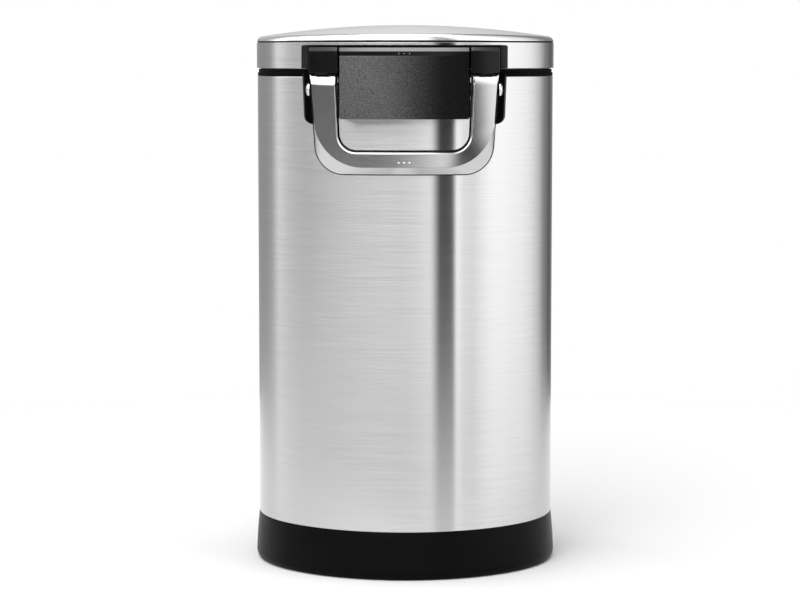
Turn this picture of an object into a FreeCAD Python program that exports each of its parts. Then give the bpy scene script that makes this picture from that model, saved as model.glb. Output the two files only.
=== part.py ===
import FreeCAD, Part
import math
import os

# Oval lidded storage bin with a front bail.
# +Z is up, the front faces -Y, +X is to the right, seen from the front.
# The origin is the centre of the oval plan, on the floor. Millimetres.

V = FreeCAD.Vector
UP = V(0, 0, 1)
SIDES = (-1, 1)

# ---- plan of the body ----------------------------------------------------------
HALF_WIDTH = 152.0        # steel, outside, along X
HALF_DEPTH = 137.0        # steel, outside, along Y
SIDE_RADIUS = 126.0       # radius of the two side arcs
SIDE_CENTRE = HALF_WIDTH - SIDE_RADIUS
FRONT_RADIUS = ((SIDE_CENTRE ** 2 + HALF_DEPTH ** 2 - SIDE_RADIUS ** 2)
                / (2 * (HALF_DEPTH - SIDE_RADIUS)))
FRONT_CENTRE = FRONT_RADIUS - HALF_DEPTH
JOIN_ANGLE = math.degrees(math.atan2(FRONT_CENTRE, SIDE_CENTRE))

SHEET = 0.8               # steel sheet
GAP = 0.3                 # clearance between parts that only pass each other

# ---- heights -------------------------------------------------------------------
PAD_TOP = 2.6             # rubber pad, from the floor
BASE_RIM = 0.8            # lowest edge of the base skirt
BASE_WIDEST = 9.0
BASE_TOP = 48.6
SPIGOT_TOP = 62.0
STEEL_TOP = 500.2
COLLAR_TOP = 503.5
RIM_TOP = 507.0           # raised rim that the gasket closes on
LEDGE_TOP = 497.5         # ledge that carries the bucket
LID_BOTTOM = 508.0
CROWN_TOP = 551.8

# ---- base, collar and bucket, as offsets from the body's outside -----------------
BASE_FLARE = 3.2
BASE_TOP_OFFSET = 0.35
BASE_FOOT = -0.6
BASE_INNER = -6.0
BASE_FLOOR = 3.0          # thickness
SPIGOT_OUT = -1.1
SPIGOT_IN = -3.6
COLLAR_OUT = -0.2
RIM_OUT = -1.8
RIM_IN = -6.0
LEDGE_IN = -9.5
LEDGE_THICK = 2.5
SKIRT_IN = -3.4           # collar skirt inside the steel
SKIRT_BOTTOM = 474.0
BUCKET_RIM = -6.5
BUCKET_TOP = -10.2        # outside of the wall at the ledge
BUCKET_FOOT = -15.0       # outside of the wall at the floor
BUCKET_WALL = 2.2
BUCKET_FLOOR = 9.0
BUCKET_LIP = 500.3

# ---- lid -------------------------------------------------------------------------
LID_OUT = 0.7
DOME_RADIUS = 944.0
SHOULDER = 7.0            # radius between skirt and dome
HEM = 1.7                 # width of the turned-in edge that carries the liner
HEM_THICK = 0.6
LINER_OUT = LID_OUT - SHEET - GAP
LINER_WALL = 2.2
LINER_TOP = 528.0
PLATE_BOTTOM = 514.0
PLATE_TOP = 516.5
LOCATING_RIB_OUT = -7.5
LOCATING_RIB_IN = -9.5
LOCATING_RIB_BOTTOM = 503.0
GASKET_OUT = -2.9
GASKET_IN = -6.6

# ---- curved front assembly --------------------------------------------------------
FACE_RADIUS = 260.0       # plan radius shared by bail, panel and blocks
FACE_FRONT = -161.0       # foremost point of that surface
FACE_CENTRE = FACE_FRONT + FACE_RADIUS
COVER_THICK = 5.0         # panel
HOUSING_INSET = 5.7       # from the shared surface back to the lid housing

PANEL_HALF = 63.0
PANEL_BOTTOM = 459.3
PANEL_TOP = 528.5
TOP_BEVEL = 3.6

BLOCK_IN = 65.0
BLOCK_OUT = 93.0
BLOCK_BOTTOM = 503.9
BLOCK_TOP = 529.0
CATCH_CENTRE = 81.0
CATCH_WIDTH = 12.7
CATCH_DEPTH = 2.0
CATCH_BOTTOM = 502.8

HOUSING_TOP = 531.0
HOUSING_FOOT_HALF = 103.6   # half width against the lid
HOUSING_FRONT_HALF = 94.2   # half width at its front edge

CORE_HALF = 61.5          # bracket block between the arms
CORE_BOTTOM = 462.0
CORE_TOP = 503.0
CORE_WALL = 3.0
LUG_IN = 46.0             # the pivot lugs are solid from here outwards
WING_FRONT = -123.0
WING_TOP_HALF = 102.0
WING_LOW_HALF = 100.3
WING_BOTTOM = 453.5
WING_CORNER = 8.0
WING_DRAFT = 3.0
WING_NOTCH_HALF = 65.5
WEB_HALF = 72.0           # web joining core and wings below the arms' ends
WEB_FRONT = -127.0
WEB_TOP = 471.5

# ---- bail ------------------------------------------------------------------------
PIVOT_Y = -139.0
PIVOT_Z = 487.7
ARM_TOP = 502.8
ARM_OUT = 93.0
ARM_OUT_TAPER = 0.0697    # narrowing per millimetre of drop
ARM_IN = 67.4
ARM_IN_TAPER = 0.0384
BAIL_BOTTOM = 404.5
BAIL_CORNER = 29.5
BEVEL_BOTTOM = 412.5      # lower edge of the front face
BEVEL_CORNER = 47.0
GRIP_TOP = 427.0
GRIP_CORNER = 18.5
BAIL_THICK = 14.0
BAR_THICK = 8.0           # steel part of that thickness
ARM_END_ROUND = 12.0
ARM_SWEEP = 15.5          # the arm's end stays within this distance of the pivot
BOSS_RADIUS = 10.0
BOSS_IN = 66.6
BOSS_OUT = 92.6
PIVOT_RADIUS = 3.0
RUNNING_FIT = 0.05
PIVOT_HEAD = 6.45
PIVOT_HEAD_HIGH = 3.4
SPACER_RADIUS = 7.0
BACKING_STEP = 2.0        # how far the backing shows inside the steel

# ---- rear hinge --------------------------------------------------------------------
HINGE_Y = 147.0
HINGE_Z = 514.0
KNUCKLE_RADIUS = 7.0
HINGE_PIN_RADIUS = 3.0
ARM_HALF = 29.5
EAR_IN = 30.0
EAR_OUT = 44.0
HINGE_BRACKET_BOTTOM = 462.0
HINGE_BRACKET_TOP = 505.0
LEAF_BOTTOM = 510.0
LEAF_TOP = 532.0
LEAF_BACK = 141.5
CAP_RADIUS = 5.0
CAP_THICK = 2.5

# ---- screws --------------------------------------------------------------------------
SCREW_RADIUS = 1.6
SCREW_HEAD = 3.3
SCREW_HEAD_HIGH = 2.0
BRACKET_SCREW_X = (-36.0, -14.0, 14.0, 36.0)
BRACKET_SCREW_Z = 487.0
HOUSING_SCREW_X = (-54.0, -18.0, 18.0, 54.0)
HOUSING_SCREW_Z = 521.0
HINGE_SCREW_X = (-34.0, -12.0, 12.0, 34.0)
HINGE_SCREW_Z = 487.0
LEAF_SCREW_X = (-21.0, -7.0, 7.0, 21.0)
LEAF_SCREW_Z = 522.0
BAIL_SCREW_X = (-45.0, -15.0, 15.0, 45.0)
BAIL_SCREW_Z = 418.5


# ---- helpers -------------------------------------------------------------------------
def front_y(x, offset):
    """Y of the body's front wall at x, moved outwards by offset."""
    return FRONT_CENTRE - math.sqrt((FRONT_RADIUS + offset) ** 2 - x * x)


def rear_y(x, offset):
    """Y of the body's rear wall at x, moved outwards by offset."""
    return -front_y(x, offset)


def face_y(x, depth):
    """Y of the front assembly's surface at x, taken back by depth."""
    return FACE_CENTRE - math.sqrt((FACE_RADIUS - depth) ** 2 - x * x)


def oval_arcs():
    """Centre, radius, start angle and sweep of the four arcs of the plan."""
    beta = JOIN_ANGLE
    return (
        (V(SIDE_CENTRE, 0, 0), SIDE_RADIUS, -beta, 2 * beta),
        (V(0, -FRONT_CENTRE, 0), FRONT_RADIUS, beta, 180 - 2 * beta),
        (V(-SIDE_CENTRE, 0, 0), SIDE_RADIUS, 180 - beta, 2 * beta),
        (V(0, FRONT_CENTRE, 0), FRONT_RADIUS, 180 + beta, 180 - 2 * beta),
    )


def oval_prism(offset, z0, z1):
    """Solid with the oval plan, moved outwards by offset, between two heights."""
    edges = []
    for centre, radius, start, sweep in oval_arcs():
        middle = V(centre.x, centre.y, z0)
        edges.append(Part.makeCircle(radius + offset, middle, UP, start, start + sweep))
    face = Part.Face(Part.Wire(Part.__sortEdges__(edges)))
    return face.extrude(V(0, 0, z1 - z0))


def oval_ring(points):
    """Ring whose section is the given (offset, height) polygon, all round the oval."""
    sectors = []
    for centre, radius, start, sweep in oval_arcs():
        angle = math.radians(start)
        corners = []
        for offset, z in points + points[:1]:
            reach = radius + offset
            corners.append(V(centre.x + reach * math.cos(angle),
                             centre.y + reach * math.sin(angle), z))
        face = Part.Face(Part.makePolygon(corners))
        sectors.append(face.revolve(centre, UP, sweep))
    return sectors[0].multiFuse(sectors[1:]).removeSplitter()


def box(x0, y0, z0, x1, y1, z1):
    """Box between two opposite corners."""
    return Part.makeBox(x1 - x0, y1 - y0, z1 - z0, V(x0, y0, z0))


def rod_x(x0, x1, y, z, radius):
    """Round rod along X."""
    start = min(x0, x1)
    return Part.makeCylinder(radius, abs(x1 - x0), V(start, y, z), V(1, 0, 0))


def face_layer(near, far, z0, z1):
    """Layer of the curved front assembly between two depths behind its surface."""
    base = V(0, FACE_CENTRE, z0)
    outer = Part.makeCylinder(FACE_RADIUS - near, z1 - z0, base)
    return outer.cut(Part.makeCylinder(FACE_RADIUS - far, z1 - z0, base))


def plan_prism(points, z0, z1):
    """Prism on a plan polygon of (x, y) points."""
    corners = [V(x, y, z0) for x, y in points + points[:1]]
    return Part.Face(Part.makePolygon(corners)).extrude(V(0, 0, z1 - z0))


def screw(x, y, z, toward, grip, thread):
    """Pan-head screw along Y: grip and thread run from under the head."""
    ahead = V(0, toward, 0)
    seat = V(x, y, z)
    shank = Part.makeCylinder(SCREW_RADIUS, grip + thread, seat, ahead)
    head = Part.makeCylinder(SCREW_HEAD, SCREW_HEAD_HIGH, seat, V(0, -toward, 0))
    return shank.fuse(head).removeSplitter()


def top_edges(shape, z, front_only):
    """Edges lying at height z; optionally only those on the assembly's surface."""
    found = []
    for edge in shape.Edges:
        bounds = edge.BoundBox
        if abs(bounds.ZMin - z) > 0.01 or abs(bounds.ZMax - z) > 0.01:
            continue
        middle = edge.valueAt((edge.FirstParameter + edge.LastParameter) / 2)
        reach = math.hypot(middle.x, middle.y - FACE_CENTRE)
        if front_only and abs(reach - FACE_RADIUS) > 0.1:
            continue
        found.append(edge)
    return found


# ---- base -----------------------------------------------------------------------------
def base_skirt():
    """Flared moulding with a floor and a spigot that stands inside the steel."""
    low_curve = []
    rise = BASE_WIDEST - BASE_RIM
    run = BASE_FLARE - BASE_FOOT
    for step in range(7):
        angle = math.radians(15 * step)
        low_curve.append((BASE_FOOT + run * math.sin(angle),
                          BASE_WIDEST - rise * math.cos(angle)))
    section = low_curve + [
        (BASE_TOP_OFFSET, BASE_TOP),
        (SPIGOT_OUT, BASE_TOP),
        (SPIGOT_OUT, SPIGOT_TOP),
        (SPIGOT_IN, SPIGOT_TOP),
        (SPIGOT_IN, PAD_TOP + BASE_FLOOR),
        (BASE_INNER, PAD_TOP + BASE_FLOOR),
        (BASE_INNER, BASE_RIM),
    ]
    floor = oval_prism(BASE_INNER + 1, PAD_TOP, PAD_TOP + BASE_FLOOR)
    return oval_ring(section).fuse(floor).removeSplitter()


def base_pad():
    """Rubber pad that the bin stands on."""
    return oval_prism(BASE_INNER - GAP, 0, PAD_TOP)


# ---- body ------------------------------------------------------------------------------
def front_screw_holes(radius):
    """Clearance for the bracket's screws through steel and collar."""
    holes = []
    for x in BRACKET_SCREW_X:
        start = V(x, front_y(abs(x) - SCREW_HEAD, CORE_WALL), BRACKET_SCREW_Z)
        holes.append(Part.makeCylinder(radius, 16, start, V(0, 1, 0)))
    return holes


def rear_screw_holes(radius):
    """Clearance for the hinge bracket's screws through collar and steel."""
    holes = []
    for x in HINGE_SCREW_X:
        start = V(x, rear_y(x, SKIRT_IN - 1), HINGE_SCREW_Z)
        holes.append(Part.makeCylinder(radius, 14, start, V(0, 1, 0)))
    return holes


def body_shell():
    """Oval steel tube standing on the base."""
    tube = oval_prism(0, BASE_TOP, STEEL_TOP).cut(oval_prism(-SHEET, BASE_TOP, STEEL_TOP))
    return tube.cut(front_screw_holes(SCREW_RADIUS) + rear_screw_holes(SCREW_RADIUS))


def collar():
    """Ring over the steel's top edge with the gasket rim and the bucket ledge."""
    section = [
        (COLLAR_OUT, COLLAR_TOP),
        (RIM_OUT, COLLAR_TOP),
        (RIM_OUT, RIM_TOP),
        (RIM_IN, RIM_TOP),
        (RIM_IN, LEDGE_TOP),
        (LEDGE_IN, LEDGE_TOP),
        (LEDGE_IN, LEDGE_TOP - LEDGE_THICK),
        (SKIRT_IN, LEDGE_TOP - LEDGE_THICK),
        (SKIRT_IN, SKIRT_BOTTOM),
        (SPIGOT_OUT, SKIRT_BOTTOM),
        (SPIGOT_OUT, STEEL_TOP),
        (COLLAR_OUT, STEEL_TOP),
    ]
    ring = oval_ring(section)
    return ring.cut(front_screw_holes(SCREW_RADIUS) + rear_screw_holes(SCREW_RADIUS))


def inner_bucket():
    """Tapered bucket hung by its rim on the collar's ledge."""
    section = [
        (BUCKET_RIM, LEDGE_TOP),
        (BUCKET_RIM, BUCKET_LIP),
        (BUCKET_TOP - BUCKET_WALL, BUCKET_LIP),
        (BUCKET_FOOT - BUCKET_WALL, BUCKET_FLOOR),
        (BUCKET_FOOT, BUCKET_FLOOR),
        (BUCKET_TOP, LEDGE_TOP),
    ]
    floor = oval_prism(BUCKET_FOOT - 1, BUCKET_FLOOR, BUCKET_FLOOR + BUCKET_WALL)
    return oval_ring(section).fuse(floor).removeSplitter()


# ---- front bracket ----------------------------------------------------------------------
def wing_block():
    """Flat-fronted pad on the steel, as wide as the lid housing."""
    low = WING_BOTTOM
    round_centre = V(WING_LOW_HALF - WING_CORNER, 0, low + WING_CORNER)
    slope = (WING_TOP_HALF - WING_LOW_HALF) / (COLLAR_TOP - low)
    shoulder_x = WING_LOW_HALF + slope * WING_CORNER
    half = math.sqrt(0.5) * WING_CORNER
    middle = V(round_centre.x + half, 0, round_centre.z - half)
    edges = []
    for side in SIDES:
        a = V(side * WING_TOP_HALF, 0, COLLAR_TOP)
        b = V(side * shoulder_x, 0, low + WING_CORNER)
        c = V(side * round_centre.x, 0, low)
        edges.append(Part.makeLine(a, b))
        edges.append(Part.Arc(b, V(side * middle.x, 0, middle.z), c).toShape())
    edges.append(Part.makeLine(V(-WING_TOP_HALF, 0, COLLAR_TOP), V(WING_TOP_HALF, 0, COLLAR_TOP)))
    edges.append(Part.makeLine(V(-round_centre.x, 0, low), V(round_centre.x, 0, low)))
    outline = Part.Face(Part.Wire(Part.__sortEdges__(edges)))
    outline.translate(V(0, WING_FRONT, 0))
    slab = outline.extrude(V(0, 35, 0))
    back = WING_FRONT + 35
    narrow = WING_TOP_HALF - WING_DRAFT
    wide = WING_TOP_HALF + 1
    draft = plan_prism([(-narrow, WING_FRONT), (narrow, WING_FRONT), (wide, back), (-wide, back)],
                       low - 1, COLLAR_TOP + 1)
    notch = box(-WING_NOTCH_HALF, -200, low - 1, WING_NOTCH_HALF, 0, CORE_BOTTOM)
    return slab.common(draft).cut(notch)


def core_block():
    """Block between the bail's arms, hollow in front, closed by the panel."""
    slab = box(-CORE_HALF, -170, CORE_BOTTOM, CORE_HALF, -100, CORE_TOP)
    cylinder = Part.makeCylinder(FACE_RADIUS - COVER_THICK, CORE_TOP, V(0, FACE_CENTRE, 0))
    hollow = box(-LUG_IN, -170, CORE_BOTTOM + CORE_WALL, LUG_IN, -100, CORE_TOP - CORE_WALL)
    hollow = hollow.cut(oval_prism(CORE_WALL, 400, 520))
    return slab.common(cylinder).cut(hollow)


def front_bracket():
    """One moulding: core, wings and web, bored for the pivot screws."""
    web = box(-WEB_HALF, WEB_FRONT, CORE_BOTTOM, WEB_HALF, -100, WEB_TOP)
    body = core_block().multiFuse([wing_block(), web])
    body = body.cut(oval_prism(0, 440, 520))
    for side in SIDES:
        thread = rod_x(side * (LUG_IN + 1), side * (CORE_HALF + 1), PIVOT_Y, PIVOT_Z, PIVOT_RADIUS)
        body = body.cut(thread)
    return body.cut(front_screw_holes(SCREW_RADIUS)).removeSplitter()


def bracket_screws():
    """Four screws from the bracket's hollow into the collar's skirt."""
    parts = []
    for x in BRACKET_SCREW_X:
        seat = front_y(abs(x) - SCREW_HEAD, CORE_WALL)
        parts.append(screw(x, seat, BRACKET_SCREW_Z, 1, CORE_WALL + 1.5, 4.5))
    return Part.makeCompound(parts)


def bevelled_cover(x0, x1, z0, z1, depth):
    """Piece of the curved surface layer with a bevelled top front edge."""
    slab = box(x0, -170, z0, x1, -100, z1)
    cover = slab.common(face_layer(0, depth, z0, z1))
    return cover.makeChamfer(TOP_BEVEL, top_edges(cover, z1, True))


def centre_panel():
    """Cover of the bracket's hollow, carried up in front of the lid housing."""
    return bevelled_cover(-PANEL_HALF, PANEL_HALF, PANEL_BOTTOM, PANEL_TOP, COVER_THICK)


def pivot_screws():
    """Two domed shoulder screws, threaded into the bracket's lugs."""
    parts = []
    for side in SIDES:
        seat = side * (BOSS_OUT + GAP)
        shank = rod_x(side * (LUG_IN + 1), seat, PIVOT_Y, PIVOT_Z, PIVOT_RADIUS)
        rise = PIVOT_HEAD_HIGH
        ball_radius = (PIVOT_HEAD ** 2 + rise ** 2) / (2 * rise)
        ball = Part.makeSphere(ball_radius, V(seat + side * (rise - ball_radius), PIVOT_Y, PIVOT_Z))
        head = ball.common(rod_x(seat, seat + side * rise, PIVOT_Y, PIVOT_Z, PIVOT_HEAD))
        tip = seat + side * rise
        recess = rod_x(tip - side * 1.6, tip, PIVOT_Y, PIVOT_Z, 1.8)
        parts.append(head.cut(recess).fuse(shank).removeSplitter())
    return Part.makeCompound(parts)


def pivot_spacers():
    """Two spacers that keep the arms off the bracket."""
    parts = []
    for side in SIDES:
        x0 = side * CORE_HALF
        x1 = side * (BOSS_IN - GAP)
        tube = rod_x(x0, x1, PIVOT_Y, PIVOT_Z, SPACER_RADIUS)
        parts.append(tube.cut(rod_x(x0, x1, PIVOT_Y, PIVOT_Z, PIVOT_RADIUS)))
    return Part.makeCompound(parts)


# ---- lid ------------------------------------------------------------------------------------
def dome(offset, z0, inset):
    """Oval block under the crown, with its shoulder rounded."""
    ball = Part.makeSphere(DOME_RADIUS - inset, V(0, 0, CROWN_TOP - DOME_RADIUS))
    block = oval_prism(offset, z0, CROWN_TOP + 5).common(ball)
    rim = []
    for edge in block.Edges:
        bounds = edge.BoundBox
        if bounds.ZMin > z0 + 10 and bounds.ZMax - bounds.ZMin < 5:
            rim.append(edge)
    return block.makeFillet(SHOULDER - inset, rim)


def lid_shell():
    """Domed steel skin with a skirt and a turned-in lower edge."""
    skin = dome(LID_OUT, LID_BOTTOM, 0).cut(dome(LID_OUT - SHEET, LID_BOTTOM, SHEET))
    inner = LID_OUT - SHEET
    hem = oval_prism(inner, LID_BOTTOM, LID_BOTTOM + HEM_THICK)
    hem = hem.cut(oval_prism(inner - HEM, LID_BOTTOM, LID_BOTTOM + HEM_THICK))
    shell = skin.fuse(hem)
    shell = shell.cut(housing_screw_holes() + leaf_screw_holes())
    return shell.removeSplitter()


def lid_liner():
    """Inner tray with its wall, its plate and the rib that centres it in the collar."""
    low = LID_BOTTOM + HEM_THICK
    wall = oval_prism(LINER_OUT, low, LINER_TOP)
    wall = wall.cut(oval_prism(LINER_OUT - LINER_WALL, low, LINER_TOP))
    plate = oval_prism(LINER_OUT - 1, PLATE_BOTTOM, PLATE_TOP)
    rib = oval_prism(LOCATING_RIB_OUT, LOCATING_RIB_BOTTOM, PLATE_TOP)
    rib = rib.cut(oval_prism(LOCATING_RIB_IN, LOCATING_RIB_BOTTOM, PLATE_BOTTOM))
    tray = wall.multiFuse([plate, rib])
    return tray.cut(housing_screw_holes() + leaf_screw_holes()).removeSplitter()


def lid_gasket():
    """Soft ring under the liner's plate, over the collar's rim."""
    ring = oval_prism(GASKET_OUT, RIM_TOP + GAP, PLATE_BOTTOM)
    return ring.cut(oval_prism(GASKET_IN, RIM_TOP + GAP, PLATE_BOTTOM))


def housing_screw_holes():
    """Holes for the housing's screws through liner, skirt and housing."""
    holes = []
    for x in HOUSING_SCREW_X:
        start = V(x, front_y(x, LINER_OUT - LINER_WALL) + 1.5, HOUSING_SCREW_Z)
        holes.append(Part.makeCylinder(SCREW_RADIUS, 12, start, V(0, -1, 0)))
    return holes


def leaf_screw_holes():
    """Holes for the hinge arm's screws through liner, skirt and leaf."""
    holes = []
    for x in LEAF_SCREW_X:
        start = V(x, rear_y(x, LINER_OUT - LINER_WALL) - 1.5, LEAF_SCREW_Z)
        holes.append(Part.makeCylinder(SCREW_RADIUS, 9, start, V(0, 1, 0)))
    return holes


def lid_housing():
    """Black housing on the lid's front, its sides sloping back to the skirt."""
    wide = HOUSING_FOOT_HALF
    slim = HOUSING_FRONT_HALF
    front = face_y(slim, HOUSING_INSET)
    plan = [(-wide, -98.0), (-slim, front), (-slim, -170.0),
            (slim, -170.0), (slim, front), (wide, -98.0)]
    body = plan_prism(plan, LID_BOTTOM + GAP, HOUSING_TOP)
    cylinder = Part.makeCylinder(FACE_RADIUS - HOUSING_INSET, 600, V(0, FACE_CENTRE, 0))
    body = body.common(cylinder).cut(oval_prism(LID_OUT, LID_BOTTOM, HOUSING_TOP))
    return body.cut(housing_screw_holes()).removeSplitter()


def catch_block(side):
    """Block in front of the housing, over one arm of the bail."""
    x0 = min(side * BLOCK_IN, side * BLOCK_OUT)
    x1 = max(side * BLOCK_IN, side * BLOCK_OUT)
    return bevelled_cover(x0, x1, BLOCK_BOTTOM, BLOCK_TOP, HOUSING_INSET)


def catch_pads():
    """Small pads on the undersides of the blocks, at their front edges."""
    parts = []
    for side in SIDES:
        x0 = side * CATCH_CENTRE - CATCH_WIDTH / 2
        slab = box(x0, -170, CATCH_BOTTOM, x0 + CATCH_WIDTH, -100, BLOCK_BOTTOM)
        parts.append(slab.common(face_layer(0, CATCH_DEPTH, CATCH_BOTTOM, BLOCK_BOTTOM)))
    return Part.makeCompound(parts)


def housing_screws():
    """Four screws from inside the lid into the housing."""
    parts = []
    for x in HOUSING_SCREW_X:
        seat = front_y(x, LINER_OUT - LINER_WALL) + 1.5
        parts.append(screw(x, seat, HOUSING_SCREW_Z, -1, 6.0, 6.0))
    return Part.makeCompound(parts)


# ---- bail --------------------------------------------------------------------------------------
def arch(top_half, taper, corner, bottom, y):
    """Closed U outline: straight tapering sides, round corners, flat bottom."""
    slope = math.atan(taper)
    centre_z = bottom + corner
    side_x = top_half - taper * (ARM_TOP - centre_z)
    centre_x = side_x - corner / math.cos(slope)
    touch = V(centre_x + corner * math.cos(slope), y, centre_z - corner * math.sin(slope))
    turn = math.radians(-45) - slope / 2
    middle = V(centre_x + corner * math.cos(turn), y, centre_z + corner * math.sin(turn))
    edges = []
    for side in SIDES:
        top = V(side * top_half, y, ARM_TOP)
        start = V(side * touch.x, y, touch.z)
        through = V(side * middle.x, y, middle.z)
        end = V(side * centre_x, y, bottom)
        edges.append(Part.makeLine(top, start))
        edges.append(Part.Arc(start, through, end).toShape())
    edges.append(Part.makeLine(V(-centre_x, y, bottom), V(centre_x, y, bottom)))
    edges.append(Part.makeLine(V(-top_half, y, ARM_TOP), V(top_half, y, ARM_TOP)))
    return Part.Wire(Part.__sortEdges__(edges))


def bail_outside():
    """Outer form: the bevel runs from the front face's outline to the full outline."""
    back = FACE_FRONT + BAIL_THICK
    face_outline = arch(ARM_OUT, ARM_OUT_TAPER, BEVEL_CORNER, BEVEL_BOTTOM, FACE_FRONT)
    full_outline = arch(ARM_OUT, ARM_OUT_TAPER, BAIL_CORNER, BAIL_BOTTOM, back)
    bevel = Part.makeLoft([face_outline, full_outline], True, True)
    rest = Part.Face(full_outline).extrude(V(0, 35, 0))
    return bevel.fuse(rest)


def bail_window(shrink):
    """Opening between the arms, made smaller by shrink."""
    outline = arch(ARM_IN - shrink, ARM_IN_TAPER, GRIP_CORNER - shrink, GRIP_TOP + shrink,
                   FACE_FRONT - 10)
    return Part.Face(outline).extrude(V(0, 80, 0))


def bail_blank(shrink):
    """Whole bail before it is split into steel and backing."""
    low = BAIL_BOTTOM - 5
    layer = face_layer(0, BAIL_THICK, low, ARM_TOP)
    form = bail_outside().common(layer).cut(bail_window(shrink))
    form = form.makeFillet(ARM_END_ROUND, top_edges(form, ARM_TOP, True))
    for side in SIDES:
        form = form.fuse(rod_x(side * BOSS_IN, side * BOSS_OUT, PIVOT_Y, PIVOT_Z, BOSS_RADIUS))
    shell = Part.makeCylinder(FACE_RADIUS, 200, V(0, FACE_CENTRE, low))
    form = form.common(shell)
    above = box(-120, -190, PIVOT_Z, 120, -90, ARM_TOP + 20)
    form = form.cut(above.cut(rod_x(-120, 120, PIVOT_Y, PIVOT_Z, ARM_SWEEP)))
    bore = PIVOT_RADIUS + RUNNING_FIT
    return form.cut(rod_x(-120, 120, PIVOT_Y, PIVOT_Z, bore))


def bail_bar():
    """Steel front of the bail."""
    bar = bail_blank(0).common(face_layer(0, BAR_THICK, BAIL_BOTTOM - 5, ARM_TOP + 1))
    return bar.cut(bail_screw_holes()).removeSplitter()


def bail_backing():
    """Plastic back of the bail with the pivot bosses, showing inside the steel."""
    cylinder = Part.makeCylinder(FACE_RADIUS - BAR_THICK, 200, V(0, FACE_CENTRE, BAIL_BOTTOM - 5))
    backing = bail_blank(BACKING_STEP).common(cylinder)
    for side in SIDES:
        x0 = side * BOSS_IN
        x1 = side * (BOSS_IN - 6)
        backing = backing.cut(rod_x(x0, x1, PIVOT_Y, PIVOT_Z, ARM_SWEEP + 1))
    return backing.cut(bail_screw_holes()).removeSplitter()


def bail_screw_holes():
    """Holes for the bail's screws, blind in the steel."""
    holes = []
    for x in BAIL_SCREW_X:
        seat = face_y(x, BAIL_THICK) - 3.0
        holes.append(Part.makeCylinder(SCREW_RADIUS, 8, V(x, seat, BAIL_SCREW_Z), V(0, -1, 0)))
        holes.append(Part.makeCylinder(SCREW_HEAD, 8, V(x, seat, BAIL_SCREW_Z), V(0, 1, 0)))
    return holes


def bail_screws():
    """Four screws, sunk into the backing from behind."""
    parts = []
    for x in BAIL_SCREW_X:
        seat = face_y(x, BAIL_THICK) - 3.0
        parts.append(screw(x, seat, BAIL_SCREW_Z, -1, 3.0, 5.0))
    return Part.makeCompound(parts)


# ---- rear hinge -----------------------------------------------------------------------------------
def hinge_bracket():
    """Pad on the rear of the steel with two ears for the pin."""
    back = HINGE_Y + KNUCKLE_RADIUS
    pad = box(-EAR_OUT - 3, 100, HINGE_BRACKET_BOTTOM, EAR_OUT + 3, back, HINGE_BRACKET_TOP)
    lean = back - HALF_DEPTH - 3
    section = [V(0, back + 1, HINGE_BRACKET_BOTTOM - 1),
               V(0, back + 1, HINGE_BRACKET_BOTTOM + 2 * lean),
               V(0, back - lean, HINGE_BRACKET_BOTTOM - 1)]
    wedge = Part.Face(Part.makePolygon(section + section[:1]))
    wedge.translate(V(-60, 0, 0))
    pad = pad.cut(wedge.extrude(V(120, 0, 0)))
    body = pad
    for side in SIDES:
        body = body.fuse(rod_x(side * EAR_IN, side * EAR_OUT, HINGE_Y, HINGE_Z, KNUCKLE_RADIUS))
        x0 = min(side * EAR_IN, side * EAR_OUT)
        body = body.fuse(box(x0, HINGE_Y - KNUCKLE_RADIUS, HINGE_BRACKET_TOP - 2,
                             x0 + EAR_OUT - EAR_IN, back, HINGE_Z))
    body = body.cut(oval_prism(0, 450, 520))
    body = body.cut(rod_x(-60, 60, HINGE_Y, HINGE_Z, HINGE_PIN_RADIUS))
    return body.cut(rear_screw_holes(SCREW_RADIUS)).removeSplitter()


def hinge_bracket_screws():
    """Four screws from inside the collar's skirt into the hinge bracket."""
    parts = []
    for x in HINGE_SCREW_X:
        parts.append(screw(x, rear_y(x, SKIRT_IN - 1), HINGE_SCREW_Z, 1, 5.0, 7.0))
    return Part.makeCompound(parts)


def hinge_pin():
    """Steel pin, fixed in the ears."""
    return rod_x(-EAR_OUT - 1, EAR_OUT + 1, HINGE_Y, HINGE_Z, HINGE_PIN_RADIUS)


def hinge_caps():
    """Push-on caps over the pin's ends."""
    parts = []
    for side in SIDES:
        near = side * EAR_OUT
        cap = rod_x(near, near + side * CAP_THICK, HINGE_Y, HINGE_Z, CAP_RADIUS)
        parts.append(cap.cut(rod_x(near, near + side, HINGE_Y, HINGE_Z, HINGE_PIN_RADIUS)))
    return Part.makeCompound(parts)


def hinge_arm():
    """Leaf on the lid's rear skirt with the middle knuckle."""
    leaf = box(-ARM_HALF, 120, LEAF_BOTTOM, ARM_HALF, LEAF_BACK, LEAF_TOP)
    link = box(-ARM_HALF, 135, LEAF_BOTTOM, ARM_HALF, HINGE_Y, HINGE_Z + KNUCKLE_RADIUS)
    knuckle = rod_x(-ARM_HALF, ARM_HALF, HINGE_Y, HINGE_Z, KNUCKLE_RADIUS)
    body = leaf.multiFuse([link, knuckle]).cut(oval_prism(LID_OUT, 500, 540))
    body = body.cut(rod_x(-60, 60, HINGE_Y, HINGE_Z, HINGE_PIN_RADIUS + RUNNING_FIT))
    return body.cut(leaf_screw_holes()).removeSplitter()


def hinge_arm_screws():
    """Four screws from inside the lid into the hinge arm's leaf."""
    parts = []
    for x in LEAF_SCREW_X:
        seat = rear_y(x, LINER_OUT - LINER_WALL) - 1.5
        parts.append(screw(x, seat, LEAF_SCREW_Z, 1, 5.0, 3.0))
    return Part.makeCompound(parts)


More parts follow.
